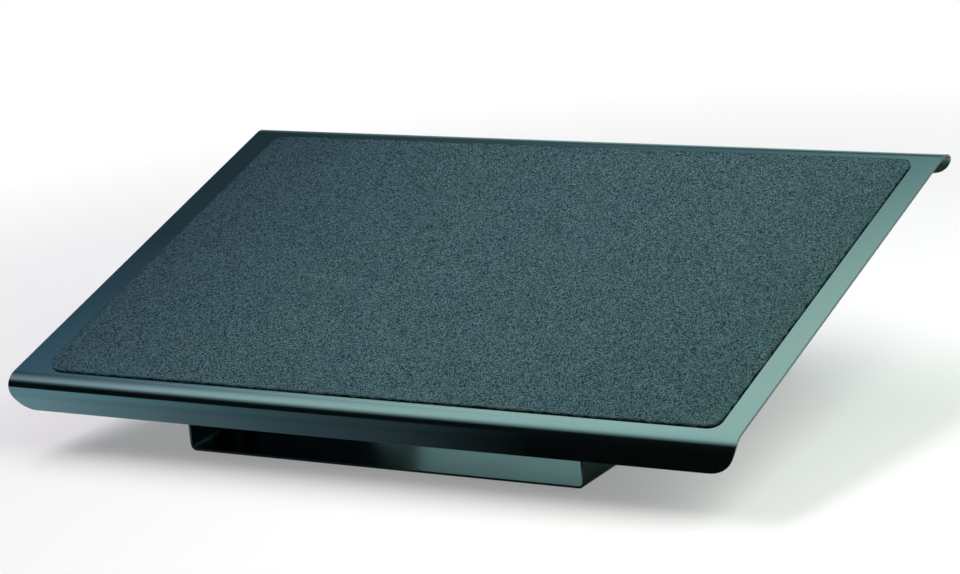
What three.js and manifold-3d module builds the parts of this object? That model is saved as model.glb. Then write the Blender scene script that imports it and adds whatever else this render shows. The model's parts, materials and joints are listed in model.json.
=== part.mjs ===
// Under desk footrest with a see-saw platform.
// A folded steel panel with a tread mat rocks on two shoulder bolts, which turn in nylon bushes in
// the walls of a folded steel tray. Two channel rails hang under the panel and carry the bolts, and
// rubber bumpers in the rails meet the floor of the tray at each end of the tilt.
// Millimetres. X runs across, Y to the rear and Z up. The origin is on the floor, at the middle of
// the space that the footrest takes when its front edge is down.

import * as THREE from 'three';
import { mergeVertices } from 'three/addons/utils/BufferGeometryUtils.js';
import Module from 'manifold-3d';

// Clearances
const seatGap = 0.3;
const runningClearance = 0.08;
const fitClearance = 0.15;
const sideClearance = 0.25;
const overrun = 5;

// Tilt to each side of level, in degrees
const tiltLimit = 16.3;

// Platform panel: one sheet with its front and rear edges folded down. The corners are round on the
// flat blank, so each arc runs up its flange and on round the bend.
const panelWidth = 560;
const panelDepth = 350;
const panelSheet = 1.5;
const panelBendInside = 12;
const frontFlangeDrop = 22;
const rearFlangeDrop = 20.3;
const frontCornerRadius = 21.3;
const rearCornerRadius = 16.3;

// Tread mat, stuck to the panel
const matLeftMargin = 23.5;
const matRightMargin = 17;
const matFrontMargin = 16.2;
const matRearMargin = 17.3;
const matThickness = 1.2;
const matCornerRadius = 9;

// Base tray: one sheet with both sides folded up
const trayWidth = 307;
const trayDepth = 277;
const traySheet = 1.5;
const trayBendInside = 3;
const wallEndHeight = 36;
const wallCornerRadius = 12;

// Pivot axis, above the underside of the tray and below the top face of the panel
const pivotRise = 80.6;
const pivotDrop = 20;
const earClearance = 3.5;

// Rails under the panel: channels that open inwards
const railLength = 240;
const railSheet = 1.5;
const railBendInside = 1.5;
const railTopFlange = 25;
const railBottomFlange = 18;
const railCornerRadius = 9;

// Pivot hardware
const pivotThreadRadius = 4;
const pivotThreadTail = 2.5;
const threadChamferShare = 0.25;
const shoulderStep = 1;
const pivotHeadStep = 4;
const pivotHeadHeight = 4.6;
const pivotHeadEdge = 1.6;
const pivotSocketWidth = 5;
const pivotSocketDepth = 2.6;
const bushWall = 2;
const bushFlangeStep = 4;
const bushFlangeThickness = 2;
const bushProud = 0.4;
const pivotWasherBand = 4;
const pivotWasherThickness = 1.6;
const pivotNutWall = 2.5;
const pivotNutHeight = 6;
const pivotNutCollar = 2;

// Weld studs and flange nuts that hold the rails
const studsPerRail = 4;
const studEndInset = 22;
const studRadius = 2.5;
const studBaseStep = 0.8;
const studBaseHeight = 0.8;
const studTail = 3;
const studNutWall = 1.5;
const studNutHeight = 5;
const studNutFlangeStep = 1.9;
const studNutFlangeHeight = 1.1;

// Rubber bumpers, pushed into the lower flanges of the rails
const bumperEndInset = 16;
const bumperRadius = 6;
const bumperHeight = 13.5;
const bumperNeckRadius = 2.6;
const bumperBarbStep = 1.4;
const bumperBarbHeight = 3.4;

// Rubber feet under the tray
const footRadius = 11;
const footHeight = 2;
const footInset = 24;
const footEdge = 0.6;

// Steps in an arc of a quarter turn, small or broad, and sides of the round pieces
const arcSteps = 8;
const broadArcSteps = 16;
const roundSides = 32;
const smallSides = 16;
const domeSteps = 5;

// Worked out from the sizes above
const tilt = THREE.MathUtils.degToRad(tiltLimit);
const floorTop = footHeight + traySheet;
const pivotHeight = footHeight + pivotRise;
const panelBendOutside = panelBendInside + panelSheet;
const panelUnderside = pivotDrop - panelSheet;
const earRadius = panelUnderside - earClearance;
const shoulderRadius = pivotThreadRadius + shoulderStep;
const bushBore = shoulderRadius + runningClearance;
const bushRadius = bushBore + bushWall;
const bushEnd = trayWidth / 2 + bushProud;
const wallInner = trayWidth / 2 - traySheet;
const railOuter = wallInner - bushFlangeThickness - 2 * sideClearance;
const railInner = railOuter - railSheet;
const studBaseRadius = studRadius + studBaseStep;
const studX = railOuter - railTopFlange / 2;
const bumperX = railOuter - railBottomFlange / 2;
const bumperY = railLength / 2 - bumperEndInset;

// A bumper's dome just meets the floor of the tray at the end of the tilt, and that sets how deep
// the rails are
const domeRise = floorTop + seatGap + bumperRadius;
const domeZ = (domeRise - pivotHeight + bumperY * Math.sin(tilt)) / Math.cos(tilt);
const railTop = panelUnderside - seatGap;
const railBottom = domeZ - bumperRadius + bumperHeight + seatGap;
const railDepth = railTop - railBottom;

// How far the platform reaches in front of the pivot and behind it, which centres the footrest
const frontReach =
  (panelDepth / 2 - panelBendOutside) * Math.cos(tilt) +
  (pivotDrop - panelBendOutside) * Math.sin(tilt) +
  panelBendOutside;
const rearReach =
  (panelDepth / 2) * Math.cos(tilt) + (rearFlangeDrop - pivotDrop) * Math.sin(tilt);
const pivotY = (frontReach - rearReach) / 2;

const wasm = await Module();
wasm.setup();

// Axes for an outline drawn flat: its own X and Y, and the way it is extruded
const toX = new THREE.Vector3(1, 0, 0);
const toY = new THREE.Vector3(0, 1, 0);
const toZ = new THREE.Vector3(0, 0, 1);

function toSolid(geometry) {
  const bare = geometry.clone();
  bare.deleteAttribute('normal');
  bare.deleteAttribute('uv');
  const merged = mergeVertices(bare);
  const mesh = new wasm.Mesh({
    numProp: 3,
    vertProperties: new Float32Array(merged.attributes.position.array),
    triVerts: new Uint32Array(merged.index.array),
  });
  mesh.merge();
  return new wasm.Manifold(mesh);
}

function toGeometry(solid) {
  const mesh = solid.getMesh();
  const geometry = new THREE.BufferGeometry();
  geometry.setAttribute('position', new THREE.BufferAttribute(mesh.vertProperties, 3));
  geometry.setIndex(new THREE.BufferAttribute(mesh.triVerts, 1));
  return geometry;
}

// The first piece, kept only inside the outlines given and with the tools cut away
function shaped(geometry, outlines, tools) {
  let solid = toSolid(geometry);
  for (const outline of outlines) {
    solid = solid.intersect(toSolid(outline));
  }
  for (const tool of tools) {
    solid = solid.subtract(toSolid(tool));
  }
  return toGeometry(solid);
}

function extruded(shape, length, steps, across, up, along) {
  const geometry = new THREE.ExtrudeGeometry(shape, {
    depth: length,
    bevelEnabled: false,
    curveSegments: steps,
  });
  geometry.translate(0, 0, -length / 2);
  geometry.applyMatrix4(new THREE.Matrix4().makeBasis(across, up, along));
  return geometry;
}

// An outline in Y and Z, carried along X
function alongX(shape, length, steps = arcSteps) {
  return extruded(shape, length, steps, toY, toZ, toX);
}

// An outline in X and Z, carried along Y
function alongY(shape, length, steps = arcSteps) {
  return extruded(shape, length, steps, toX, toZ, toY.clone().negate());
}

// A rod or drill along X or Z, centred on the origin
function rodAlongX(radius, length, sides) {
  return new THREE.CylinderGeometry(radius, radius, length, sides).rotateZ(-Math.PI / 2);
}

function rodAlongZ(radius, length, sides) {
  return new THREE.CylinderGeometry(radius, radius, length, sides).rotateX(Math.PI / 2);
}

// A turned piece: pairs of radius and height, with its axis along Z
function turned(profile, sides) {
  const points = profile.map(([radius, height]) => new THREE.Vector2(radius, height));
  return new THREE.LatheGeometry(points, sides).rotateX(Math.PI / 2);
}

// Section of a sheet folded at right angles along both edges. The web lies along the top, and the
// two legs hang down from it.
function channelOutline(width, leftLeg, rightLeg, sheet, bendInside) {
  const half = width / 2;
  const bendOutside = bendInside + sheet;
  const bendX = half - bendOutside;
  const quarter = Math.PI / 2;
  const shape = new THREE.Shape();
  shape.moveTo(-half, -leftLeg);
  shape.lineTo(-half + sheet, -leftLeg);
  shape.absarc(-bendX, -bendOutside, bendInside, Math.PI, quarter, true);
  shape.absarc(bendX, -bendOutside, bendInside, quarter, 0, true);
  shape.lineTo(half - sheet, -rightLeg);
  shape.lineTo(half, -rightLeg);
  shape.absarc(bendX, -bendOutside, bendOutside, 0, quarter, false);
  shape.absarc(-bendX, -bendOutside, bendOutside, quarter, Math.PI, false);
  shape.closePath();
  return shape;
}

// A rectangle from the top line down, with its two lower corners rounded
function apronOutline(width, depth, radius) {
  const half = width / 2;
  const corner = Math.min(radius, depth);
  const shape = new THREE.Shape();
  shape.moveTo(half, 0);
  shape.lineTo(-half, 0);
  shape.absarc(-half + corner, -depth + corner, corner, Math.PI, 1.5 * Math.PI, false);
  shape.absarc(half - corner, -depth + corner, corner, 1.5 * Math.PI, 2 * Math.PI, false);
  shape.closePath();
  return shape;
}

// Side view of the tray, from its underside. Each wall slopes up from a low rounded end to a round
// ear about the pivot, and the slope is tangent to both arcs.
function wallOutline() {
  const half = trayDepth / 2;
  const endY = half - wallCornerRadius;
  const endZ = wallEndHeight - wallCornerRadius;
  const drop = pivotRise - endZ;
  const reach = Math.hypot(endY, drop);
  const slope = Math.acos((earRadius - wallCornerRadius) / reach) - Math.atan2(drop, endY);
  const shape = new THREE.Shape();
  shape.moveTo(-half, 0);
  shape.lineTo(half, 0);
  shape.absarc(endY, endZ, wallCornerRadius, 0, slope, false);
  shape.absarc(0, pivotRise, earRadius, slope, Math.PI - slope, false);
  shape.absarc(-endY, endZ, wallCornerRadius, Math.PI - slope, Math.PI, false);
  shape.closePath();
  return shape;
}

function roundedPlate(width, depth, radius) {
  const halfWidth = width / 2;
  const halfDepth = depth / 2;
  const centreX = halfWidth - radius;
  const centreY = halfDepth - radius;
  const quarter = Math.PI / 2;
  const shape = new THREE.Shape();
  shape.absarc(centreX, centreY, radius, 0, quarter, false);
  shape.absarc(-centreX, centreY, radius, quarter, 2 * quarter, false);
  shape.absarc(-centreX, -centreY, radius, 2 * quarter, 3 * quarter, false);
  shape.absarc(centreX, -centreY, radius, 3 * quarter, 4 * quarter, false);
  shape.closePath();
  return shape;
}

// A hexagonal prism from zero up along Z, with its flats at the distance given from the axis
function hexBar(flat, height) {
  const corner = flat / Math.cos(Math.PI / 6);
  return rodAlongZ(corner, height, 6).translate(0, 0, height / 2);
}

// The waste outside a lower corner of a flange, as an outline in X and Z from the panel's top face.
// A length along the arc's side of the blank goes up the flange first and then round the bend.
function cornerWaste(side, drop, radius) {
  const edge = panelWidth / 2;
  const straight = drop - panelBendOutside;
  const shape = new THREE.Shape();
  shape.moveTo(side * (edge - radius), -drop - overrun);
  for (let step = 0; step <= broadArcSteps; step += 1) {
    const turn = (Math.PI / 2) * (step / broadArcSteps);
    const out = edge - radius + radius * Math.sin(turn);
    const run = radius - radius * Math.cos(turn);
    const bendTurn = Math.max(0, run - straight) / panelBendOutside;
    const rise = Math.min(run, straight) + panelBendOutside * Math.sin(bendTurn);
    shape.lineTo(side * out, rise - drop);
  }
  shape.lineTo(side * (edge + overrun), shape.currentPoint.y);
  shape.lineTo(side * (edge + overrun), -drop - overrun);
  shape.closePath();
  return shape;
}

function panelGeometry() {
  const section = channelOutline(
    panelDepth, frontFlangeDrop, rearFlangeDrop, panelSheet, panelBendInside,
  );
  const folded = alongX(section, panelWidth, broadArcSteps);
  const waste = [];
  for (const side of [-1, 1]) {
    const front = cornerWaste(side, frontFlangeDrop, frontCornerRadius);
    const rear = cornerWaste(side, rearFlangeDrop, rearCornerRadius);
    const depth = panelBendOutside + overrun;
    const place = panelDepth / 2 + overrun - depth / 2;
    waste.push(alongY(front, depth).translate(0, -place, 0));
    waste.push(alongY(rear, depth).translate(0, place, 0));
  }
  return shaped(folded, [], waste).translate(0, 0, pivotDrop);
}

function matGeometry() {
  const width = panelWidth - matLeftMargin - matRightMargin;
  const depth = panelDepth - matFrontMargin - matRearMargin;
  const outline = roundedPlate(width, depth, matCornerRadius);
  const plate = new THREE.ExtrudeGeometry(outline, {
    depth: matThickness,
    bevelEnabled: false,
    curveSegments: arcSteps,
  });
  const matX = (matLeftMargin - matRightMargin) / 2;
  const matY = (matFrontMargin - matRearMargin) / 2;
  return plate.translate(matX, matY, pivotDrop + seatGap);
}

function studPlaces() {
  const reach = railLength / 2 - studEndInset;
  const pitch = (2 * reach) / (studsPerRail - 1);
  return Array.from({ length: studsPerRail }, (_, index) => -reach + index * pitch);
}

// The rail of one side, which is 1 on the right and -1 on the left
function railGeometry(side) {
  const section = channelOutline(
    railDepth, railTopFlange, railBottomFlange, railSheet, railBendInside,
  );
  const channel = new THREE.ExtrudeGeometry(section, {
    depth: railLength,
    bevelEnabled: false,
    curveSegments: arcSteps,
  });
  channel.translate(0, 0, -railLength / 2);
  const up = new THREE.Vector3(0, 0, -1);
  const outwards = new THREE.Vector3(side, 0, 0);
  const along = new THREE.Vector3().crossVectors(up, outwards);
  channel.applyMatrix4(new THREE.Matrix4().makeBasis(up, outwards, along));
  channel.translate(side * railOuter, 0, railTop - railDepth / 2);

  const web = apronOutline(railLength, railDepth, railCornerRadius);
  const trim = alongX(web, 2 * railOuter + 2 * overrun).translate(0, 0, railTop);
  const drills = [rodAlongX(pivotThreadRadius + fitClearance, 2 * railOuter + overrun, roundSides)];
  for (const y of studPlaces()) {
    const drill = rodAlongZ(studBaseRadius + fitClearance, 2 * railSheet + overrun, smallSides);
    drills.push(drill.translate(side * studX, y, railTop));
  }
  for (const y of [-bumperY, bumperY]) {
    const drill = rodAlongZ(bumperNeckRadius + fitClearance, 2 * railSheet + overrun, smallSides);
    drills.push(drill.translate(side * bumperX, y, railBottom));
  }
  return shaped(channel, [trim], drills);
}

function trayGeometry() {
  const height = pivotRise + earRadius + overrun;
  const section = channelOutline(trayWidth, height, height, traySheet, trayBendInside);
  const folded = alongY(section, trayDepth).rotateY(Math.PI);
  const side = alongX(wallOutline(), trayWidth + 2 * overrun);
  const drill = rodAlongX(bushRadius + fitClearance, trayWidth + 2 * overrun, roundSides);
  drill.translate(0, 0, pivotRise);
  return shaped(folded, [side], [drill]).translate(0, pivotY, footHeight);
}

function footGeometry() {
  const profile = [
    [0, 0],
    [footRadius - footEdge, 0],
    [footRadius, footEdge],
    [footRadius, footHeight],
    [0, footHeight],
  ];
  return turned(profile, roundSides);
}

// Flanged bush, from the running face of its flange outwards
function bushGeometry() {
  const sleeveEnd = bushFlangeThickness + sideClearance + traySheet + bushProud;
  const profile = [
    [bushBore, 0],
    [bushRadius + bushFlangeStep, 0],
    [bushRadius + bushFlangeStep, bushFlangeThickness],
    [bushRadius, bushFlangeThickness],
    [bushRadius, sleeveEnd],
    [bushBore, sleeveEnd],
    [bushBore, 0],
  ];
  return turned(profile, roundSides);
}

// Shoulder bolt, from the underside of its head outwards, with a hexagonal socket in a domed head
function pivotBoltGeometry() {
  const headSeat = bushEnd + sideClearance;
  const shoulderEnd = railOuter + fitClearance - headSeat;
  const nutEnd = pivotWasherThickness + pivotNutHeight + pivotNutCollar + 2 * sideClearance;
  const threadEnd = railInner - nutEnd - pivotThreadTail - headSeat;
  const chamfer = pivotThreadRadius * threadChamferShare;
  const headRadius = shoulderRadius + pivotHeadStep;
  const profile = [
    [0, threadEnd],
    [pivotThreadRadius - chamfer, threadEnd],
    [pivotThreadRadius, threadEnd + chamfer],
    [pivotThreadRadius, shoulderEnd],
    [shoulderRadius, shoulderEnd],
    [shoulderRadius, 0],
    [headRadius, 0],
    [headRadius, pivotHeadEdge],
  ];
  const crown = pivotHeadHeight - pivotHeadEdge;
  for (let step = 1; step <= domeSteps; step += 1) {
    const turn = (Math.PI / 2) * (step / domeSteps);
    profile.push([headRadius * Math.cos(turn), pivotHeadEdge + crown * Math.sin(turn)]);
  }
  profile[profile.length - 1][0] = 0;
  const socket = hexBar(pivotSocketWidth / 2, pivotSocketDepth + overrun);
  socket.translate(0, 0, pivotHeadHeight - pivotSocketDepth);
  return shaped(turned(profile, roundSides), [], [socket]);
}

function pivotWasherGeometry() {
  const bore = pivotThreadRadius + fitClearance;
  const rim = pivotThreadRadius + pivotWasherBand;
  const profile = [
    [bore, 0],
    [rim, 0],
    [rim, pivotWasherThickness],
    [bore, pivotWasherThickness],
    [bore, 0],
  ];
  return turned(profile, roundSides);
}

// Lock nut: a hexagon with chamfered corners and a round collar for its nylon ring
function pivotNutGeometry() {
  const flat = pivotThreadRadius + pivotNutWall;
  const corner = flat / Math.cos(Math.PI / 6);
  const chamfer = corner - flat;
  const collarRadius = flat - pivotNutCollar / 2;
  const round = turned([
    [0, 0],
    [corner - chamfer, 0],
    [corner, chamfer],
    [corner, pivotNutHeight - chamfer],
    [corner - chamfer, pivotNutHeight],
    [collarRadius, pivotNutHeight],
    [collarRadius, pivotNutHeight + pivotNutCollar / 2],
    [collarRadius - pivotNutCollar / 2, pivotNutHeight + pivotNutCollar],
    [0, pivotNutHeight + pivotNutCollar],
  ], roundSides);
  const height = pivotNutHeight + pivotNutCollar;
  const bore = rodAlongZ(pivotThreadRadius + fitClearance, 2 * height + overrun, roundSides);
  return shaped(hexBar(flat, height), [round], [bore]);
}

// Weld stud, hanging from the underside of the panel
function studGeometry() {
  const chamfer = studRadius * threadChamferShare;
  const end = -(seatGap + railSheet + seatGap + studNutHeight + studTail);
  const profile = [
    [0, end],
    [studRadius - chamfer, end],
    [studRadius, end + chamfer],
    [studRadius, -studBaseHeight],
    [studBaseRadius, -studBaseHeight],
    [studBaseRadius, 0],
    [0, 0],
  ];
  return turned(profile, smallSides);
}

// Flange nut, from its seat down
function studNutGeometry() {
  const flat = studRadius + studNutWall;
  const corner = flat / Math.cos(Math.PI / 6);
  const chamfer = corner - flat;
  const rim = flat + studNutFlangeStep;
  const washer = turned([
    [0, -studNutHeight / 2],
    [corner, -studNutHeight / 2],
    [rim, -studNutFlangeHeight],
    [rim, 0],
    [0, 0],
  ], smallSides);
  const round = turned([
    [0, -studNutHeight],
    [corner - chamfer, -studNutHeight],
    [corner, -studNutHeight + chamfer],
    [corner, 0],
    [0, 0],
  ], smallSides);
  const hexagon = hexBar(flat, studNutHeight).translate(0, 0, -studNutHeight);
  const bore = rodAlongZ(studRadius + fitClearance, 2 * studNutHeight + overrun, smallSides);
  const body = toSolid(hexagon).intersect(toSolid(round)).add(toSolid(washer));
  return toGeometry(body.subtract(toSolid(bore)));
}

// Push-in bumper, with its dome about the origin and its barb above the rail's lower flange
function bumperGeometry() {
  const seat = bumperHeight - bumperRadius;
  const neckEnd = seat + 2 * seatGap + railSheet;
  const profile = [];
  for (let step = 0; step <= domeSteps; step += 1) {
    const turn = (Math.PI / 2) * (step / domeSteps);
    profile.push([bumperRadius * Math.sin(turn), -bumperRadius * Math.cos(turn)]);
  }
  profile.push(
    [bumperRadius, seat],
    [bumperNeckRadius, seat],
    [bumperNeckRadius, neckEnd],
    [bumperNeckRadius + bumperBarbStep, neckEnd],
    [bumperNeckRadius, neckEnd + bumperBarbHeight],
    [0, neckEnd + bumperBarbHeight],
  );
  return turned(profile, roundSides);
}

function paint(color, roughness, metalness) {
  return new THREE.MeshStandardMaterial({ color, roughness, metalness });
}

function piece(name, geometry, material) {
  const mesh = new THREE.Mesh(geometry, material);
  mesh.name = name;
  return mesh;
}

const blackPaint = () => paint(0x15191c, 0.3, 0.2);
const matRubber = () => paint(0x434f56, 0.9, 0);
const softRubber = () => paint(0x111111, 0.85, 0);
const nylon = () => paint(0xd8d6cc, 0.5, 0);
const zinc = () => paint(0xb4b8bc, 0.35, 0.9);

const footrest = new THREE.Group();
const platform = new THREE.Group();
platform.position.set(0, pivotY, pivotHeight);
platform.rotation.x = tilt;
footrest.add(platform);

footrest.add(piece('base_tray', trayGeometry(), blackPaint()));
platform.add(piece('platform_panel', panelGeometry(), blackPaint()));
platform.add(piece('tread_mat', matGeometry(), matRubber()));

for (const [sideName, side] of [['left', -1], ['right', 1]]) {
  platform.add(piece(`${sideName}_rail`, railGeometry(side), blackPaint()));

  const outwards = side * Math.PI / 2;
  const bush = piece(`${sideName}_pivot_bush`, bushGeometry(), nylon());
  bush.position.set(side * (railOuter + sideClearance), pivotY, pivotHeight);
  bush.rotation.y = outwards;
  footrest.add(bush);

  const bolt = piece(`${sideName}_pivot_bolt`, pivotBoltGeometry(), zinc());
  bolt.position.x = side * (bushEnd + sideClearance);
  bolt.rotation.y = outwards;
  platform.add(bolt);

  const washer = piece(`${sideName}_pivot_washer`, pivotWasherGeometry(), zinc());
  washer.position.x = side * (railInner - sideClearance);
  washer.rotation.y = -outwards;
  platform.add(washer);

  const nut = piece(`${sideName}_pivot_nut`, pivotNutGeometry(), zinc());
  nut.position.x = side * (railInner - pivotWasherThickness - 2 * sideClearance);
  nut.rotation.y = -outwards;
  platform.add(nut);

  studPlaces().forEach((y, index) => {
    const stud = piece(`${sideName}_stud_${index + 1}`, studGeometry(), zinc());
    stud.position.set(side * studX, y, panelUnderside - seatGap);
    const studNut = piece(`${sideName}_stud_nut_${index + 1}`, studNutGeometry(), zinc());
    studNut.position.set(side * studX, y, railTop - railSheet - seatGap);
    platform.add(stud, studNut);
  });

  for (const [endName, end] of [['front', -1], ['rear', 1]]) {
    const bumper = piece(`${endName}_${sideName}_bumper`, bumperGeometry(), softRubber());
    bumper.position.set(side * bumperX, end * bumperY, domeZ);
    platform.add(bumper);

    const foot = piece(`${endName}_${sideName}_foot`, footGeometry(), softRubber());
    foot.position.x = side * (trayWidth / 2 - footInset);
    foot.position.y = pivotY + end * (trayDepth / 2 - footInset);
    footrest.add(foot);
  }
}

export default footrest;
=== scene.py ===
import json
import math

import bpy
import numpy as np
from mathutils import Matrix, Vector, noise


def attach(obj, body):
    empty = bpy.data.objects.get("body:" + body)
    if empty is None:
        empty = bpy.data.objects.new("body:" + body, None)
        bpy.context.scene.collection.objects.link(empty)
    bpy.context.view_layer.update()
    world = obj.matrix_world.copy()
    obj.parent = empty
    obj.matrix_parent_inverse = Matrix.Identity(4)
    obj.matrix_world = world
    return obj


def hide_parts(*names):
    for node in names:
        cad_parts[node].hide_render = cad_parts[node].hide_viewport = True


# Tilting footrest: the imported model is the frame, and this script dresses it.
# Metres, X across, Y to the rear, Z up. The platform rests with its front edge down.

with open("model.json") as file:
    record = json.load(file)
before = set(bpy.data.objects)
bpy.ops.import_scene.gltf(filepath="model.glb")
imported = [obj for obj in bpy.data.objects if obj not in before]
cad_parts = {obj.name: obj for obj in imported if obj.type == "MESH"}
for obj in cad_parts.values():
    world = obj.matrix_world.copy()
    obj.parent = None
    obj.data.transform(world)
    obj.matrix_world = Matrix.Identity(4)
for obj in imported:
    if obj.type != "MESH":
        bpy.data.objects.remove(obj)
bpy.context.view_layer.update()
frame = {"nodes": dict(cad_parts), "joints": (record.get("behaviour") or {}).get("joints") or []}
nodes = frame["nodes"]
print("frame loaded:", len(nodes), "nodes")

mm = 0.001
tiltJoint = frame["joints"][0]
pivot = Vector(tiltJoint["pos_m"])
restTilt = math.radians(-tiltJoint["range_deg"][0] / 2)      # front edge down
toRow = Matrix.Translation(pivot) @ Matrix.Rotation(restTilt, 4, "X")
toPlatform = toRow.inverted()


def localBox(name):
    # corners of a platform node in the platform's own level frame, origin on the pivot
    points = np.array([toPlatform @ v.co for v in nodes[name].data.vertices])
    return Vector(points.min(0)), Vector(points.max(0))


def addObject(name, data):
    thing = bpy.data.objects.new(name, data)
    bpy.context.scene.collection.objects.link(thing)
    return thing


def addNode(tree, kind, values=None, links=None, **settings):
    node = tree.nodes.new(kind)
    for name, value in settings.items():
        setattr(node, name, value)
    for name, value in (values or {}).items():
        node.inputs[name].default_value = value
    for name, source in (links or {}).items():
        tree.links.new(source, node.inputs[name])
    return node


def newMaterial(name):
    material = bpy.data.materials.new(name)
    material.use_nodes = True
    tree = material.node_tree
    tree.nodes.clear()
    output = addNode(tree, "ShaderNodeOutputMaterial")
    place = addNode(tree, "ShaderNodeTexCoord").outputs["Object"]
    return material, tree, output, place


def noiseAt(tree, place, size, detail=2.0, roughness=0.5, stretch=None):
    # noise whose features are about size metres wide
    if stretch:
        place = addNode(tree, "ShaderNodeVectorMath", {1: stretch}, {0: place},
                        operation="MULTIPLY").outputs[0]
    texture = addNode(tree, "ShaderNodeTexNoise",
                      {"Scale": 1 / size, "Detail": detail, "Roughness": roughness},
                      {"Vector": place})
    return texture.outputs["Fac"]


def ramp(tree, source, stops):
    node = addNode(tree, "ShaderNodeValToRGB", links={"Fac": source})
    band = node.color_ramp
    band.elements[0].position, band.elements[0].color = stops[0]
    band.elements[1].position, band.elements[1].color = stops[-1]
    for position, colour in stops[1:-1]:
        band.elements.new(position).color = colour
    return node.outputs["Color"]


def spread(tree, source, low, high, fromLow=0.3, fromHigh=0.7):
    return addNode(tree, "ShaderNodeMapRange",
                   {"From Min": fromLow, "From Max": fromHigh, "To Min": low, "To Max": high},
                   {"Value": source}).outputs[0]


def feed(tree, node, values):
    # links each numbered socket to its source, or sets it where a plain value is given
    for socket, value in values.items():
        if isinstance(value, bpy.types.NodeSocket):
            tree.links.new(value, node.inputs[socket])
        else:
            node.inputs[socket].default_value = value


def blendColour(tree, amount, first, second, mode="MIX"):
    node = addNode(tree, "ShaderNodeMix", data_type="RGBA", blend_type=mode)
    feed(tree, node, {0: amount, 6: first, 7: second})       # the sockets for colours
    return node.outputs[2]


def blendValue(tree, amount, first, second):
    node = addNode(tree, "ShaderNodeMix", data_type="FLOAT")
    feed(tree, node, {0: amount, 2: first, 3: second})       # the sockets for numbers
    return node.outputs[0]


def compute(tree, operation, first, second):
    node = addNode(tree, "ShaderNodeMath", operation=operation)
    feed(tree, node, {0: first, 1: second})
    return node.outputs[0]


def grey(level):
    return (level, level, level, 1)


def profile(tree, source, stops):
    # level read off a list of (position, level), whatever range the positions run over
    start, end = stops[0][0], stops[-1][0]
    along = spread(tree, source, 0.0, 1.0, start, end)
    return ramp(tree, along, [((at - start) / (end - start), grey(level)) for at, level in stops])


def edgeMask(tree, radius, low=0.004, high=0.08):
    # 1 on the outer corners of the metal, 0 on its flats
    rounded = addNode(tree, "ShaderNodeBevel", {"Radius": radius}, samples=4).outputs[0]
    plain = addNode(tree, "ShaderNodeNewGeometry").outputs["Normal"]
    facing = addNode(tree, "ShaderNodeVectorMath", links={0: rounded, 1: plain},
                     operation="DOT_PRODUCT").outputs["Value"]
    return spread(tree, compute(tree, "SUBTRACT", 1.0, facing), 0.0, 1.0, low, high)


paintLook = {
    "colour": (0.0022, 0.0035, 0.0036, 1),
    "colourVaried": (0.0030, 0.0044, 0.0046, 1),
    "edgeColour": (0.010, 0.016, 0.018, 1),
    "tint": (0.45, 1.0, 0.90, 1),
    "refraction": 1.8,
    "roughness": (0.075, 0.095),
    "edgeRoughness": 0.42,
    "peelSize": 1.6 * mm,
    "grainSize": 0.35 * mm,
    "cloudSize": 60 * mm,
    "peelHeight": 0.002 * mm,
    "grainHeight": 0.0006 * mm,
    "edgeRadius": 0.6 * mm,
}
satinLook = {**paintLook, "roughness": (0.16, 0.20)}         # tray and rails have less gloss


def blackPaint(name, look):
    material, tree, output, place = newMaterial(name)
    cloud = noiseAt(tree, place, look["cloudSize"], detail=3)
    peel = noiseAt(tree, place, look["peelSize"])
    grain = noiseAt(tree, place, look["grainSize"], detail=1)
    worn = edgeMask(tree, look["edgeRadius"])
    body = blendColour(tree, cloud, look["colour"], look["colourVaried"])
    colour = blendColour(tree, worn, body, look["edgeColour"])
    rough = blendValue(tree, worn, spread(tree, cloud, *look["roughness"]), look["edgeRoughness"])
    coarse = addNode(tree, "ShaderNodeBump", {"Distance": look["peelHeight"]}, {"Height": peel})
    fine = addNode(tree, "ShaderNodeBump", {"Distance": look["grainHeight"]},
                   {"Height": grain, "Normal": coarse.outputs[0]})
    shader = addNode(tree, "ShaderNodeBsdfPrincipled",
                     {"IOR": look["refraction"], "Specular Tint": look["tint"]},
                     {"Base Color": colour, "Roughness": rough, "Normal": fine.outputs[0]})
    tree.links.new(shader.outputs[0], output.inputs[0])
    return material


treadLook = {
    "dark": (0.0016, 0.0064, 0.0095, 1),
    "middle": (0.0242, 0.0530, 0.0640, 1),
    "light": (0.107, 0.190, 0.213, 1),
    "cloudColours": ((0.95, 0.96, 0.99, 1), (1.05, 1.04, 0.99, 1)),
    # painted shade: the mat is a little darker towards its ends, most at the rear left corner
    "paintedShadeSpan": (-0.28, 0.28),
    "paintedShadeSlant": -0.18,
    "paintedEndShades": ((0.0, (0.52, 0.55, 0.66, 1)), (0.16, (0.82, 0.81, 0.93, 1)),
                  (0.32, (1.0, 0.96, 1.01, 1)), (0.50, (1.02, 1.01, 1.05, 1)),
                  (0.70, (0.99, 0.98, 0.99, 1)), (0.86, (0.89, 0.88, 0.89, 1)),
                  (1.0, (0.77, 0.80, 0.75, 1))),
    "shares": (0.27, 0.5, 0.76),                             # where the three shades sit
    "clumpShare": 0.12,                                      # how far the grains go in clumps
    "sheen": (0.4, 1.0, 1.0, 1),
    "refraction": 1.45,
    "specular": 0.3,
    # painted light: a pale colour for the mat's cut edge, lightening it where it lies in shade
    "edgeColour": (0.15, 0.27, 0.31, 1),
    "grainSize": 0.58 * mm,
    "clumpSize": 3.0 * mm,
    "cloudSize": 55 * mm,
    "tatterSize": 2.0 * mm,
    "tatterLow": 0.35,                                       # least share of the cut edge's colour
    "roughness": (0.78, 0.95),
    "grainHeight": 0.16 * mm,
    "grainStrength": 0.5,
}


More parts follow.
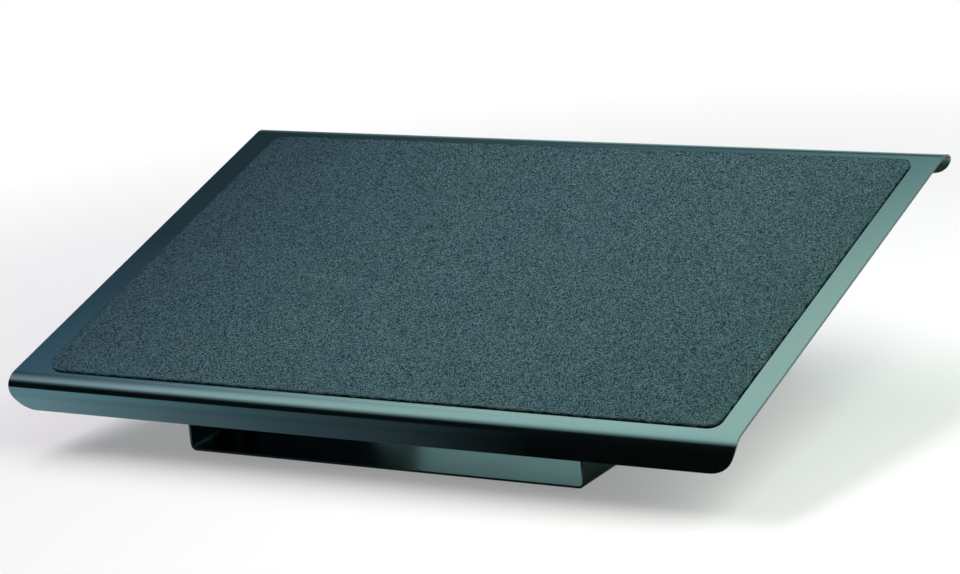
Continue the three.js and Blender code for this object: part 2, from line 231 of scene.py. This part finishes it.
def treadGrit():
    # every grain of the grit has its own shade, and the grains rise from a dark binder
    look = treadLook
    material, tree, output, place = newMaterial("tread_grit")
    grains = addNode(tree, "ShaderNodeTexVoronoi", {"Scale": 1 / look["grainSize"]},
                     {"Vector": place}).outputs
    own = addNode(tree, "ShaderNodeSeparateColor", links={0: grains["Color"]}).outputs[0]
    clump, cloud, tatter = (noiseAt(tree, place, look[size])
                            for size in ("clumpSize", "cloudSize", "tatterSize"))
    mixed = blendValue(tree, look["clumpShare"], own, clump)
    speckle = ramp(tree, mixed, [(share, look[shade]) for share, shade in
                                 zip(look["shares"], ("dark", "middle", "light"))])
    shade = blendColour(tree, spread(tree, cloud, 0.0, 1.0), *look["cloudColours"])
    colour = blendColour(tree, 1.0, speckle, shade, "MULTIPLY")
    # painted shade: darker towards the mat's ends, most at its rear left corner
    spot = addNode(tree, "ShaderNodeSeparateXYZ", links={0: place}).outputs
    across = compute(tree, "ADD", spot["X"], compute(tree, "MULTIPLY", spot["Y"], look["paintedShadeSlant"]))
    ends = ramp(tree, spread(tree, across, 0.0, 1.0, *look["paintedShadeSpan"]), look["paintedEndShades"])
    colour = blendColour(tree, 1.0, colour, ends, "MULTIPLY")
    rough = spread(tree, own, *look["roughness"], 0.0, 1.0)
    raised = compute(tree, "SUBTRACT", mixed, grains["Distance"])
    bump = addNode(tree, "ShaderNodeBump",
                   {"Distance": look["grainHeight"], "Strength": look["grainStrength"]},
                   {"Height": raised})
    # painted light: the cut edge takes the pale edge colour, in ragged patches
    side = addNode(tree, "ShaderNodeAttribute", attribute_name="cutEdge").outputs["Fac"]
    side = compute(tree, "MULTIPLY", side, spread(tree, tatter, look["tatterLow"], 1.0))
    colour = blendColour(tree, side, colour, look["edgeColour"])
    shader = addNode(tree, "ShaderNodeBsdfPrincipled",
                     {"IOR": look["refraction"], "Specular IOR Level": look["specular"],
                      "Specular Tint": look["sheen"]},
                     {"Base Color": colour, "Roughness": rough, "Normal": bump.outputs[0]})
    tree.links.new(shader.outputs[0], output.inputs[0])
    return material


rubberLook = {
    "colour": (0.010, 0.010, 0.011, 1),
    "dusty": (0.026, 0.026, 0.026, 1),
    "grainSize": 0.5 * mm,
    "dustSize": 6 * mm,
    "refraction": 1.5,
    "roughness": (0.62, 0.85),
    "grainHeight": 0.02 * mm,
}


def softRubber():
    look = rubberLook
    material, tree, output, place = newMaterial("soft_black_rubber")
    grain = noiseAt(tree, place, look["grainSize"])
    dust = noiseAt(tree, place, look["dustSize"], detail=3)
    colour = blendColour(tree, spread(tree, dust, 0, 1), look["colour"], look["dusty"])
    bump = addNode(tree, "ShaderNodeBump", {"Distance": look["grainHeight"]}, {"Height": grain})
    shader = addNode(tree, "ShaderNodeBsdfPrincipled", {"IOR": look["refraction"]},
                     {"Base Color": colour, "Roughness": spread(tree, dust, *look["roughness"]),
                      "Normal": bump.outputs[0]})
    tree.links.new(shader.outputs[0], output.inputs[0])
    return material


nylonLook = {
    "colour": (0.62, 0.60, 0.52, 1),
    "shaded": (0.50, 0.47, 0.39, 1),
    "grainSize": 0.4 * mm,
    "flowSize": 5 * mm,
    "refraction": 1.53,
    "milkiness": 0.12,
    "lightDepth": 1.5 * mm,
    "roughness": (0.38, 0.52),
    "grainHeight": 0.008 * mm,
}


def naturalNylon():
    look = nylonLook
    material, tree, output, place = newMaterial("natural_nylon")
    grain = noiseAt(tree, place, look["grainSize"])
    flow = noiseAt(tree, place, look["flowSize"], detail=3)
    colour = blendColour(tree, spread(tree, flow, 0, 1), look["colour"], look["shaded"])
    bump = addNode(tree, "ShaderNodeBump", {"Distance": look["grainHeight"]}, {"Height": grain})
    shader = addNode(tree, "ShaderNodeBsdfPrincipled",
                     {"IOR": look["refraction"], "Subsurface Weight": look["milkiness"],
                      "Subsurface Scale": look["lightDepth"]},
                     {"Base Color": colour, "Roughness": spread(tree, grain, *look["roughness"]),
                      "Normal": bump.outputs[0]})
    tree.links.new(shader.outputs[0], output.inputs[0])
    return material


zincLook = {
    "colour": (0.66, 0.68, 0.69, 1),
    "passivated": (0.60, 0.63, 0.55, 1),
    "edgeColour": (0.80, 0.80, 0.80, 1),
    "streakSize": 0.5 * mm,
    "streakStretch": (6, 1, 1),
    "streakGrit": 0.6,         # how much fine detail the streaks have
    "hazeSize": 4 * mm,
    "roughness": (0.22, 0.38),
    "streakHeight": 0.006 * mm,
    "edgeRadius": 0.35 * mm,
}


def zincPlate():
    look = zincLook
    material, tree, output, place = newMaterial("bright_zinc_plate")
    streak = noiseAt(tree, place, look["streakSize"], 3, look["streakGrit"], look["streakStretch"])
    haze = noiseAt(tree, place, look["hazeSize"], detail=3)
    worn = edgeMask(tree, look["edgeRadius"])
    body = blendColour(tree, spread(tree, haze, 0, 1), look["colour"], look["passivated"])
    colour = blendColour(tree, worn, body, look["edgeColour"])
    bump = addNode(tree, "ShaderNodeBump", {"Distance": look["streakHeight"]}, {"Height": streak})
    shader = addNode(tree, "ShaderNodeBsdfPrincipled", {"Metallic": 1.0},
                     {"Base Color": colour, "Roughness": spread(tree, streak, *look["roughness"]),
                      "Normal": bump.outputs[0]})
    tree.links.new(shader.outputs[0], output.inputs[0])
    return material


paint = blackPaint("black_powder_paint", paintLook)
satin = blackPaint("satin_powder_paint", satinLook)
grit, rubber = treadGrit(), softRubber()
nylon, zinc = naturalNylon(), zincPlate()
print("finishes made")


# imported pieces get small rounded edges, smooth bends and their finish

dressing = {
    "joinWithin": 0.002 * mm,
    "flatWithin": 0.3,         # degrees between faces that become one
    "roundAbove": 40,          # degrees at an edge that is rounded
    "roundSteps": 2,
    "faceWeight": 60,
    "sheetEdge": 0.22 * mm,
    "hardwareEdge": 0.12 * mm,
    "mouldedEdge": 0.15 * mm,
}


def dressNode(name, material, edge):
    piece = nodes[name]
    piece.data.materials.clear()
    piece.data.materials.append(material)
    piece.data.shade_smooth()
    weld = piece.modifiers.new("joined", "WELD")
    weld.merge_threshold = dressing["joinWithin"]
    flats = piece.modifiers.new("flats", "DECIMATE")
    flats.decimate_type = "DISSOLVE"
    flats.angle_limit = math.radians(dressing["flatWithin"])
    rounding = piece.modifiers.new("edges", "BEVEL")
    rounding.width = dressing[edge]
    rounding.segments = dressing["roundSteps"]
    rounding.limit_method = "ANGLE"
    rounding.angle_limit = math.radians(dressing["roundAbove"])
    rounding.harden_normals = False
    shading = piece.modifiers.new("shading", "WEIGHTED_NORMAL")
    shading.keep_sharp = True
    shading.weight = dressing["faceWeight"]


dressNode("platform_panel", paint, "sheetEdge")
for name in ("base_tray", "left_rail", "right_rail"):
    dressNode(name, satin, "sheetEdge")
for name in nodes:
    if name.endswith(("_bumper", "_foot")):
        dressNode(name, rubber, "mouldedEdge")
    elif name.endswith("_bush"):
        dressNode(name, nylon, "mouldedEdge")
    elif name.endswith(("_washer", "_nut")) or "_stud_nut_" in name:
        dressNode(name, zinc, "hardwareEdge")
print("packed pieces dressed")


# the tread mat, in place of its plain packed plate

mat = {
    "cell": 1.5 * mm,          # spacing of the mesh
    "trim": {"left": -1.0 * mm, "right": 0.7 * mm, "front": 0.5 * mm, "rear": 2.2 * mm},
    # radii of the front and the rear corner, as the mat was cut by hand
    "leftCorners": (17 * mm, 10 * mm),
    "rightCorners": (8.5 * mm, 9 * mm),
    "cornerSteps": 12,
    "edgeDrop": 0.6 * mm,      # how far the cut edge rounds over
    # down the cut edge: depth in halves of the drop, reach outward, share of the edge's colour
    "edgeLevels": ((0.6, 1.0, 0.2), (1.6, 1.25, 0.6), (None, 1.1, 1.0)),
    "edgeReach": 1.25,         # the reach at which the edge stands on the mat's outline
    "ragged": 1.1 * mm,        # how far the cut edge wanders in and out
    "raggedInset": 0.4,        # share of that which is always cut away
    "raggedSize": 2.6 * mm,
    "raggedPlane": 7 * mm,     # height at which the noise for it is read
    "lumps": 0.10 * mm,
    "lumpSize": 2.6 * mm,
    "waves": 0.05 * mm,
    "waveSize": 45 * mm,
    "trodden": 0.2 * mm,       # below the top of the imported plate
    "headroom": 0.03 * mm,     # the tallest lump stays this far below its top
    "bedded": 0.02 * mm,       # above the steel
}


def matSteps(half, radius):
    # rows across the mat, closer together round the corners
    straight = half - radius
    middle = np.linspace(-straight, straight, round(2 * straight / mat["cell"]) + 1)
    turns = np.linspace(0, math.pi / 2, mat["cornerSteps"] + 1)[1:]
    ends = straight + radius * np.sin(turns)
    return np.concatenate([-ends[::-1], middle, ends])


def cornerInsets(rows, half, corners):
    # how far the round corners draw one side of the mat in, row by row
    radii = np.where(rows < 0, *corners)
    over = np.clip(np.abs(rows) - (half - radii), 0, radii)
    return radii - np.sqrt(radii ** 2 - over ** 2)


def buildMat():
    low, high = localBox("tread_mat")
    panelTop = localBox("platform_panel")[1].z
    trim = mat["trim"]
    low += Vector((trim["left"], trim["front"], 0))
    high -= Vector((trim["right"], trim["rear"], 0))
    halfX, halfY = (high.x - low.x) / 2, (high.y - low.y) / 2
    midX, midY = (high.x + low.x) / 2, (high.y + low.y) / 2
    radius = max(mat["leftCorners"] + mat["rightCorners"])
    rows = matSteps(halfY, radius)
    shares = matSteps(halfX, radius) / halfX / 2 + 0.5       # from the left end to the right
    leftEnds = cornerInsets(rows, halfY, mat["leftCorners"]) - halfX
    rightEnds = halfX - cornerInsets(rows, halfY, mat["rightCorners"])
    gridX = leftEnds[:, None] + np.outer(rightEnds - leftEnds, shares)
    gridY = np.repeat(rows[:, None], len(shares), 1)
    top, bottom = high.z - mat["trodden"], panelTop + mat["bedded"]
    tallest = top - mat["headroom"]

    def relief(x, y):
        at = Vector((x, y, 0))
        lump = noise.noise(at / mat["lumpSize"]) * mat["lumps"]
        wave = noise.noise(at / mat["waveSize"]) * mat["waves"]
        return lump + wave

    nRows, nColumns = gridX.shape
    vertices = []
    for r in range(nRows):
        for c in range(nColumns):
            x, y = gridX[r, c], gridY[r, c]
            z = min(top - mat["lumps"] - mat["waves"] + relief(x, y), tallest)
            vertices.append([x, y, z])
    index = np.arange(nRows * nColumns).reshape(nRows, nColumns)
    faces = [
        (index[r, c], index[r, c + 1], index[r + 1, c + 1], index[r + 1, c])
        for r in range(nRows - 1) for c in range(nColumns - 1)
    ]
    ring = list(index[0, :-1]) + list(index[:-1, -1]) + list(index[-1, :0:-1]) + list(index[:0:-1, 0])
    edge = np.zeros(len(vertices) + len(mat["edgeLevels"]) * len(ring))
    # outward direction of each rim point, from its neighbours on the ring
    rim = np.array([vertices[i][:2] for i in ring])
    along = np.roll(rim, -1, 0) - np.roll(rim, 1, 0)
    outward = np.stack([along[:, 1], -along[:, 0]], 1)
    outward /= np.linalg.norm(outward, axis=1)[:, None]
    jag = np.array([
        noise.noise(Vector((x, y, mat["raggedPlane"])) / mat["raggedSize"]) - mat["raggedInset"]
        for x, y in rim
    ]) * mat["ragged"]
    for i, (place, way, cut) in enumerate(zip(rim, outward, jag)):
        vertices[ring[i]][:2] = place + way * (cut - mat["edgeDrop"])
    upper = ring
    for drop, reach, share in mat["edgeLevels"]:
        level = []
        for i, (place, way, cut) in enumerate(zip(rim, outward, jag)):
            spot = place + way * (cut - mat["edgeDrop"] * (1 - reach / mat["edgeReach"]))
            height = bottom if drop is None else vertices[ring[i]][2] - drop * mat["edgeDrop"] / 2
            level.append(len(vertices))
            vertices.append([spot[0], spot[1], height])
        for i in range(len(ring)):
            j = (i + 1) % len(ring)
            faces.append((upper[i], level[i], level[j], upper[j]))
        edge[level] = share
        upper = level
    faces.append(tuple(reversed(upper)))

    points = np.array(vertices) + np.array([midX, midY, 0])
    matrix = np.array(toRow)
    points = points @ matrix[:3, :3].T + matrix[:3, 3]
    mesh = bpy.data.meshes.new("tread_mat_grit")
    mesh.from_pydata([tuple(p) for p in points], [], faces)
    mesh.attributes.new("cutEdge", "FLOAT", "POINT").data.foreach_set("value", edge.astype(np.float32))
    mesh.materials.append(grit)
    mesh.shade_smooth()
    mesh.validate()
    piece = addObject("tread_mat_grit", mesh)
    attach(piece, "platform")
    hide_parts("tread_mat")


buildMat()
print("tread mat built")


# bolts and weld studs, turned again with real threads in place of their plain packed shanks

thread = {
    "stepsPerTurn": 10, "flatShare": 0.18, "depthShare": 0.61, "runOut": 1.0 * mm,
    "sharpAbove": 35,                                        # degrees at an edge that stays sharp
}
boltShape = {
    "pitch": 1.25 * mm, "radius": 4.0 * mm, "shoulder": 5.0 * mm, "head": 9.0 * mm,
    "headEdge": 1.6 * mm, "headHeight": 4.6 * mm,            # as if its dome had no socket
    "headLeft": 4.47 * mm,                                   # what the socket leaves of it
    "socketFlat": 2.5 * mm, "socketDepth": 2.6 * mm,
    "shoulderLength": 4.5 * mm, "edge": 0.2 * mm, "sides": 48, "domeSteps": 7,
}
studShape = {
    "pitch": 0.8 * mm, "radius": 2.5 * mm, "base": 3.3 * mm, "baseHeight": 0.8 * mm,
    "edge": 0.15 * mm, "sides": 30,
}


def threadedRings(start, end, radius, pitch):
    # rings of a screw thread from its chamfered free end to its run-out, as (place, radii by turn)
    depth = pitch * thread["depthShare"]
    count = round((end - start) / pitch * thread["stepsPerTurn"])
    rings = []
    for place in np.linspace(start, end, count + 1):
        cone = radius - depth + max(0.0, place - start)      # chamfer at the free end
        fade = min(1.0, (end - place) / thread["runOut"])

        def radii(turn, place=place, cone=cone, fade=fade):
            phase = (place / pitch - turn / (2 * math.pi)) % 1.0
            slope = min(1.0, abs(2 * phase - 1) / (1 - thread["flatShare"]))
            return min(cone, radius - depth * fade * (1 - slope))
        rings.append((place, radii))
    return rings


def hexagon(flat):
    # radius of a six-sided hole by turn
    sixth = math.pi / 3
    return lambda turn: flat / math.cos((turn + sixth / 2) % sixth - sixth / 2)


def turnedPiece(node, axis, origin, rings, sides):
    # axis, origin: the line that it is turned about, in the platform's own frame
    spin = Vector((0, 0, 1)).rotation_difference(axis).to_matrix().to_4x4()
    matrix = toRow @ Matrix.Translation(origin) @ spin
    turns = [2 * math.pi * i / sides for i in range(sides)]
    vertices = []
    for place, radius in rings:
        for turn in turns:
            r = radius(turn) if callable(radius) else radius
            vertices.append(matrix @ Vector((r * math.cos(turn), r * math.sin(turn), place)))
    faces = [tuple(reversed(range(sides))), tuple(range(len(vertices) - sides, len(vertices)))]
    for ring in range(len(rings) - 1):
        for i in range(sides):
            j = (i + 1) % sides
            a, b = ring * sides, (ring + 1) * sides
            faces.append((a + i, a + j, b + j, b + i))
    name = node + "_threaded"
    mesh = bpy.data.meshes.new(name)
    mesh.from_pydata(vertices, [], faces)
    mesh.materials.append(zinc)
    mesh.shade_smooth()
    mesh.set_sharp_from_angle(angle=math.radians(thread["sharpAbove"]))
    mesh.validate()
    piece = addObject(name, mesh)
    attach(piece, "platform")
    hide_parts(node)


def buildStud(node):
    shape = studShape
    low, high = localBox(node)
    origin = Vector(((low.x + high.x) / 2, (low.y + high.y) / 2, low.z))
    length = high.z - low.z
    step = length - shape["baseHeight"]
    rings = threadedRings(0.0, step - shape["edge"], shape["radius"], shape["pitch"])
    rings += [(step, shape["radius"] + shape["edge"]), (step, shape["base"] - shape["edge"]),
              (step + shape["edge"], shape["base"]), (length, shape["base"])]
    turnedPiece(node, Vector((0, 0, 1)), origin, rings, shape["sides"])


def buildBolt(node):
    shape = boltShape
    low, high = localBox(node)
    outward = 1 if low.x > 0 else -1
    start = low.x if outward > 0 else high.x                 # free end of the thread
    length = high.x - low.x
    seat = length - shape["headLeft"]
    step = seat - shape["shoulderLength"]
    edge, head, shoulder = shape["edge"], shape["head"], shape["shoulder"]
    rings = threadedRings(0.0, step, shape["radius"], shape["pitch"])
    rings += [(step, shoulder - edge), (step + edge, shoulder), (seat, shoulder),
              (seat, head - edge), (seat + edge, head), (seat + shape["headEdge"], head)]
    crown = shape["headHeight"] - shape["headEdge"]
    rim = shape["socketFlat"] / math.cos(math.pi / 6) + edge
    last = math.acos(rim / head)
    for i in range(1, shape["domeSteps"] + 1):
        turn = last * i / shape["domeSteps"]
        rings.append((seat + shape["headEdge"] + crown * math.sin(turn), head * math.cos(turn)))
    mouth = rings[-1][0]
    socket = hexagon(shape["socketFlat"])
    rings += [(mouth - edge, socket), (seat + shape["headHeight"] - shape["socketDepth"], socket)]
    origin = Vector((start, (low.y + high.y) / 2, (low.z + high.z) / 2))
    turnedPiece(node, Vector((outward, 0, 0)), origin, rings, shape["sides"])


for name in nodes:
    if name.endswith("_bolt"):
        buildBolt(name)
    elif "_stud_" in name and "_stud_nut_" not in name:
        buildStud(name)
print("threads cut")


studio = {
    "floorColour": (0.98, 0.98, 0.98, 1),
    "floorSize": 60.0,
    "floorWhite": (0.50, 0.95),                              # how far out it has turned plain white
    "shadowPaled": 0.30,                                     # share taken off the object's shadow
    "frontWalls": (0.010, 0.018, 0.022, 1),
    "rearWalls": (0.030, 0.066, 0.108, 1),
    "backdrop": (0.62, 0.97, 0.98, 1),                       # as the paint mirrors it
    # share of the backdrop in reflections, by height from the floor to the roof
    "backdropRise": ((0.0, 0.90), (0.32, 1.0), (0.40, 0.80), (0.50, 0.50), (0.58, 0.28),
                     (0.66, 0.10), (0.72, 0.0), (1.0, 0.0)),
    "backdropDepth": (-0.15, 0.30),                          # it stands behind the footrest,
    "backdropRight": (0.30, 0.05),                           # and a little towards its left
    "backdropLeft": (-0.62, -0.50),
}

floorMesh = bpy.data.meshes.new("floor")
half = studio["floorSize"] / 2
floorMesh.from_pydata([(-half, -half, 0), (half, -half, 0), (half, half, 0), (-half, half, 0)],
                      [], [(0, 1, 2, 3)])
floor = addObject("floor", floorMesh)

floorPaper, tree, output, place = newMaterial("floor_paper")
paper = addNode(tree, "ShaderNodeBsdfDiffuse", {"Color": studio["floorColour"]})
clear = addNode(tree, "ShaderNodeBsdfTransparent")
below = addNode(tree, "ShaderNodeNewGeometry").outputs["Backfacing"]
glow = addNode(tree, "ShaderNodeEmission", {"Color": grey(1.0)})
fromCentre = addNode(tree, "ShaderNodeVectorMath", links={0: place}, operation="LENGTH").outputs["Value"]
white = spread(tree, fromCentre, 0.0, 1.0, *studio["floorWhite"])
rays = addNode(tree, "ShaderNodeLightPath").outputs
looking = compute(tree, "MAXIMUM", rays["Is Camera Ray"],
                  compute(tree, "MAXIMUM", rays["Is Glossy Ray"], rays["Is Transmission Ray"]))
white = compute(tree, "MULTIPLY", white, looking)
paled = compute(tree, "MULTIPLY", rays["Is Camera Ray"], studio["shadowPaled"])
white = compute(tree, "MAXIMUM", white, paled)
lit = addNode(tree, "ShaderNodeMixShader", links={0: white, 1: paper.outputs[0], 2: glow.outputs[0]})
seen = addNode(tree, "ShaderNodeMixShader", links={0: below, 1: lit.outputs[0], 2: clear.outputs[0]})
tree.links.new(seen.outputs[0], output.inputs[0])
floorMesh.materials.append(floorPaper)

# a graded card in front of the front edge, lying on the floor and turned up at its far end,
# which only reflections see: it glows with a painted reflection of lit and shaded floor, bright on the
# left and fading out to the right
card = {
    "side": 0.90, "near": -0.172, "far": -0.42, "height": 0.3 * mm, "upright": 120 * mm,
    "slant": 0.50, "brightness": 2.05, "colour": (0.94, 1.0, 1.26, 1),
    "fade": ((-0.36, 1.0), (-0.29, 0.88), (-0.235, 0.66), (-0.15, 0.38), (-0.07, 0.22),
             (0.01, 0.13), (0.07, 0.04), (0.12, 0.0), (0.20, 0.0)),
}
cardSteps = ((card["near"], card["height"]), (card["far"], card["height"]),
             (card["far"], card["upright"]))
cardMesh = bpy.data.meshes.new("painted_reflection_card")
cardMesh.from_pydata([(side, y, z) for y, z in cardSteps for side in (-card["side"], card["side"])],
                     [], [(1, 0, 2, 3), (3, 2, 4, 5)])
paintedReflectionCard = addObject("painted_reflection_card", cardMesh)
for kind in ("camera", "diffuse", "transmission", "volume_scatter", "shadow"):
    setattr(paintedReflectionCard, "visible_" + kind, False)
paintedReflectionGlow, tree, output, place = newMaterial("painted_reflection_card")
spot = addNode(tree, "ShaderNodeSeparateXYZ", links={0: place})
forward = compute(tree, "SUBTRACT", spot.outputs["Y"], card["near"])
across = compute(tree, "SUBTRACT", spot.outputs["X"],
                 compute(tree, "MULTIPLY", forward, card["slant"]))
# painted reflection: the fade that the front flange mirrors, bright on the left and dark on the right
shade = profile(tree, across, card["fade"])
tinted = blendColour(tree, 1.0, shade, card["colour"], "MULTIPLY")
glow = addNode(tree, "ShaderNodeEmission", {"Strength": card["brightness"]}, {"Color": tinted})
tree.links.new(glow.outputs[0], output.inputs[0])
cardMesh.materials.append(paintedReflectionGlow)

world = bpy.data.worlds.new("studio")
bpy.context.scene.world = world
world.use_nodes = True
tree = world.node_tree
tree.nodes.clear()
way = addNode(tree, "ShaderNodeTexCoord").outputs["Generated"]
direction = addNode(tree, "ShaderNodeSeparateXYZ", links={0: way})
behind = spread(tree, direction.outputs["Y"], 0.0, 1.0, *studio["backdropDepth"])
rightEnd, leftEnd = (spread(tree, direction.outputs["X"], 0.0, 1.0, *studio[end])
                     for end in ("backdropRight", "backdropLeft"))
low = profile(tree, direction.outputs["Z"], studio["backdropRise"])
walls = blendColour(tree, behind, studio["frontWalls"], studio["rearWalls"])
rays = addNode(tree, "ShaderNodeLightPath").outputs
shown = compute(tree, "MAXIMUM", rays["Is Glossy Ray"], rays["Is Transmission Ray"])
for share in (low, behind, rightEnd, leftEnd):
    shown = compute(tree, "MULTIPLY", shown, share)
room = blendColour(tree, shown, walls, studio["backdrop"])
backdrop = blendColour(tree, rays["Is Camera Ray"], room, grey(1.0))
sky = addNode(tree, "ShaderNodeBackground", links={"Color": backdrop})
addNode(tree, "ShaderNodeOutputWorld", links={"Surface": sky.outputs[0]})


def aim(thing, towards):
    thing.rotation_mode = "QUATERNION"
    thing.rotation_quaternion = towards.to_track_quat("-Z", "Y")


def fromAngles(azimuth, elevation):
    # unit direction: azimuth from the rear towards the right, elevation above the floor
    a, e = math.radians(azimuth), math.radians(elevation)
    return Vector((math.sin(a) * math.cos(e), math.cos(a) * math.cos(e), math.sin(e)))


def areaLamp(name, width, height, brightness, colour):
    data = bpy.data.lights.new(name, "AREA")
    data.shape = "RECTANGLE"
    data.size, data.size_y = width, height
    data.energy = brightness * math.pi * width * height
    data.color = colour
    lamp = addObject(name, data)
    lamp.visible_camera = False
    return lamp


def softbox(name, settings):
    way = fromAngles(settings["azimuth"], settings["elevation"])
    distance = settings["distance"]
    width, height = (2 * distance * math.tan(math.radians(settings[side] / 2))
                     for side in ("width", "height"))
    lamp = areaLamp(name, width, height, settings["brightness"], settings["colour"])
    lamp.location = way * distance
    aim(lamp, -way)


# a wide box hung level over the footrest; its places are in metres to the right and to the
# rear for each metre of its height
overheadBox = {
    "hung": 8.0,
    "left": -1.35, "right": -0.28, "front": -1.20, "rear": 1.30,
    "brightness": 4.3,
    "colour": (1.0, 1.0, 1.0),
    # cast of its light, by how far its graded rear edge has faded
    "rearColours": ((0.0, (0.57, 1.0, 1.55, 1)), (0.10, (0.61, 1.0, 1.32, 1)),
                    (0.17, (0.58, 1.0, 1.17, 1)), (0.30, (0.68, 1.0, 1.0, 1)),
                    (0.50, (0.82, 1.0, 0.94, 1)), (0.75, (0.93, 1.0, 0.97, 1)),
                    (1.0, (0.95, 1.0, 0.98, 1))),
    "leftColour": (0.98, 1.0, 1.24, 1), "leftClear": (0.35, 0.95),
    "frontColour": (1.22, 1.0, 1.08, 1), "frontClear": (-0.06, 0.50),
    "slant": -28.4,            # azimuth that its graded rear edge faces
    "rearFade": ((0.30, 1.0), (0.52, 0.92), (0.72, 0.83), (0.96, 0.75), (1.0, 0.64), (1.03, 0.48),
                 (1.055, 0.32), (1.075, 0.18), (1.10, 0.135), (1.136, 0.12), (1.17, 0.048),
                 (1.20, 0.015), (1.25, 0.0), (1.30, 0.0)),
    "leftEdge": ((-1.20, 0.28), (-0.43, 0.36), (-0.24, 0.44), (-0.06, 0.50), (0.12, 0.555),
                 (0.30, 0.57), (0.50, 0.54), (0.62, 0.47), (0.74, 0.30), (0.90, 0.0)),
    "leftEdgeStart": -1.30,
    "leftFade": ((-0.22, 0.0), (-0.14, 0.14), (-0.10, 0.20), (-0.05, 0.31), (0.0, 0.47),
                 (0.06, 0.68), (0.11, 0.81), (0.16, 0.91), (0.24, 1.0)),
    "frontFade": ((-1.20, 0.0), (-1.05, 0.08), (-0.93, 0.26), (-0.80, 0.36), (-0.66, 0.58),
                  (-0.52, 0.84), (-0.36, 1.0)),
}


def hangOverheadBox():
    box = overheadBox
    hung = box["hung"]
    across, along = box["right"] - box["left"], box["rear"] - box["front"]
    lamp = areaLamp("overhead_box", across * hung, along * hung, box["brightness"], box["colour"])
    lamp.location = ((box["left"] + box["right"]) * hung / 2,
                     (box["front"] + box["rear"]) * hung / 2, hung)
    lamp.data.use_nodes = True
    tree = lamp.data.node_tree
    share = addNode(tree, "ShaderNodeNewGeometry").outputs["Parametric"]
    share = addNode(tree, "ShaderNodeSeparateXYZ", links={0: share})
    x = spread(tree, share.outputs["X"], box["left"], box["right"], 0.0, 1.0)
    y = spread(tree, share.outputs["Y"], box["front"], box["rear"], 0.0, 1.0)
    slant = math.radians(box["slant"])
    rearward = compute(tree, "ADD", compute(tree, "MULTIPLY", x, math.sin(slant)),
                       compute(tree, "MULTIPLY", y, math.cos(slant)))
    edge = compute(tree, "ADD", profile(tree, y, box["leftEdge"]), box["leftEdgeStart"])
    fromLeft = compute(tree, "SUBTRACT", x, edge)
    rearLevel = profile(tree, rearward, box["rearFade"])
    leftLevel = profile(tree, fromLeft, box["leftFade"])
    level = compute(tree, "MINIMUM", rearLevel, leftLevel)
    level = compute(tree, "MULTIPLY", level, profile(tree, y, box["frontFade"]))
    colour = ramp(tree, rearLevel, box["rearColours"])
    for end, measure in (("left", leftLevel), ("front", y)):
        clear = spread(tree, measure, 0.0, 1.0, *box[end + "Clear"])
        cast = blendColour(tree, clear, box[end + "Colour"], grey(1.0))
        colour = blendColour(tree, 1.0, colour, cast, "MULTIPLY")
    tree.links.new(colour, tree.nodes["Emission"].inputs["Color"])
    tree.links.new(level, tree.nodes["Emission"].inputs["Strength"])


hangOverheadBox()

fillLight = {
    "azimuth": 95, "elevation": 42, "width": 52, "height": 40, "distance": 1.15,
    "brightness": 3.4, "colour": (0.93, 1.0, 0.89),
}
softbox("fill_light", fillLight)

keyLight = {
    "azimuth": 60, "elevation": 76, "width": 44, "strength": 0.20, "colour": (0.95, 1.0, 0.86),
}
keyData = bpy.data.lights.new("key_light", "SUN")
keyData.angle = math.radians(keyLight["width"])
keyData.energy = keyLight["strength"]
keyData.color = keyLight["colour"]
key = addObject("key_light", keyData)
aim(key, -fromAngles(keyLight["azimuth"], keyLight["elevation"]))
print("studio lit")


cameraSettings = {
    "place": (1.19173, -1.82344, 0.68593),
    "azimuth": 33.12,
    "elevation": 15.42,
    "roll": -6.19,
    "lens": 125.12,
    "sensor": 36.0,
}
cameraData = bpy.data.cameras.new("camera")
cameraData.lens = cameraSettings["lens"]
cameraData.sensor_width = cameraSettings["sensor"]
camera = addObject("camera", cameraData)
camera.location = cameraSettings["place"]
camera.rotation_mode = "QUATERNION"
camera.rotation_quaternion = (
    Matrix.Rotation(math.radians(cameraSettings["azimuth"]), 3, "Z")
    @ Matrix.Rotation(math.radians(90 - cameraSettings["elevation"]), 3, "X")
    @ Matrix.Rotation(math.radians(cameraSettings["roll"]), 3, "Z")
).to_quaternion()
bpy.context.scene.camera = camera
bpy.context.scene.view_settings.view_transform = "Standard"
print("camera placed")
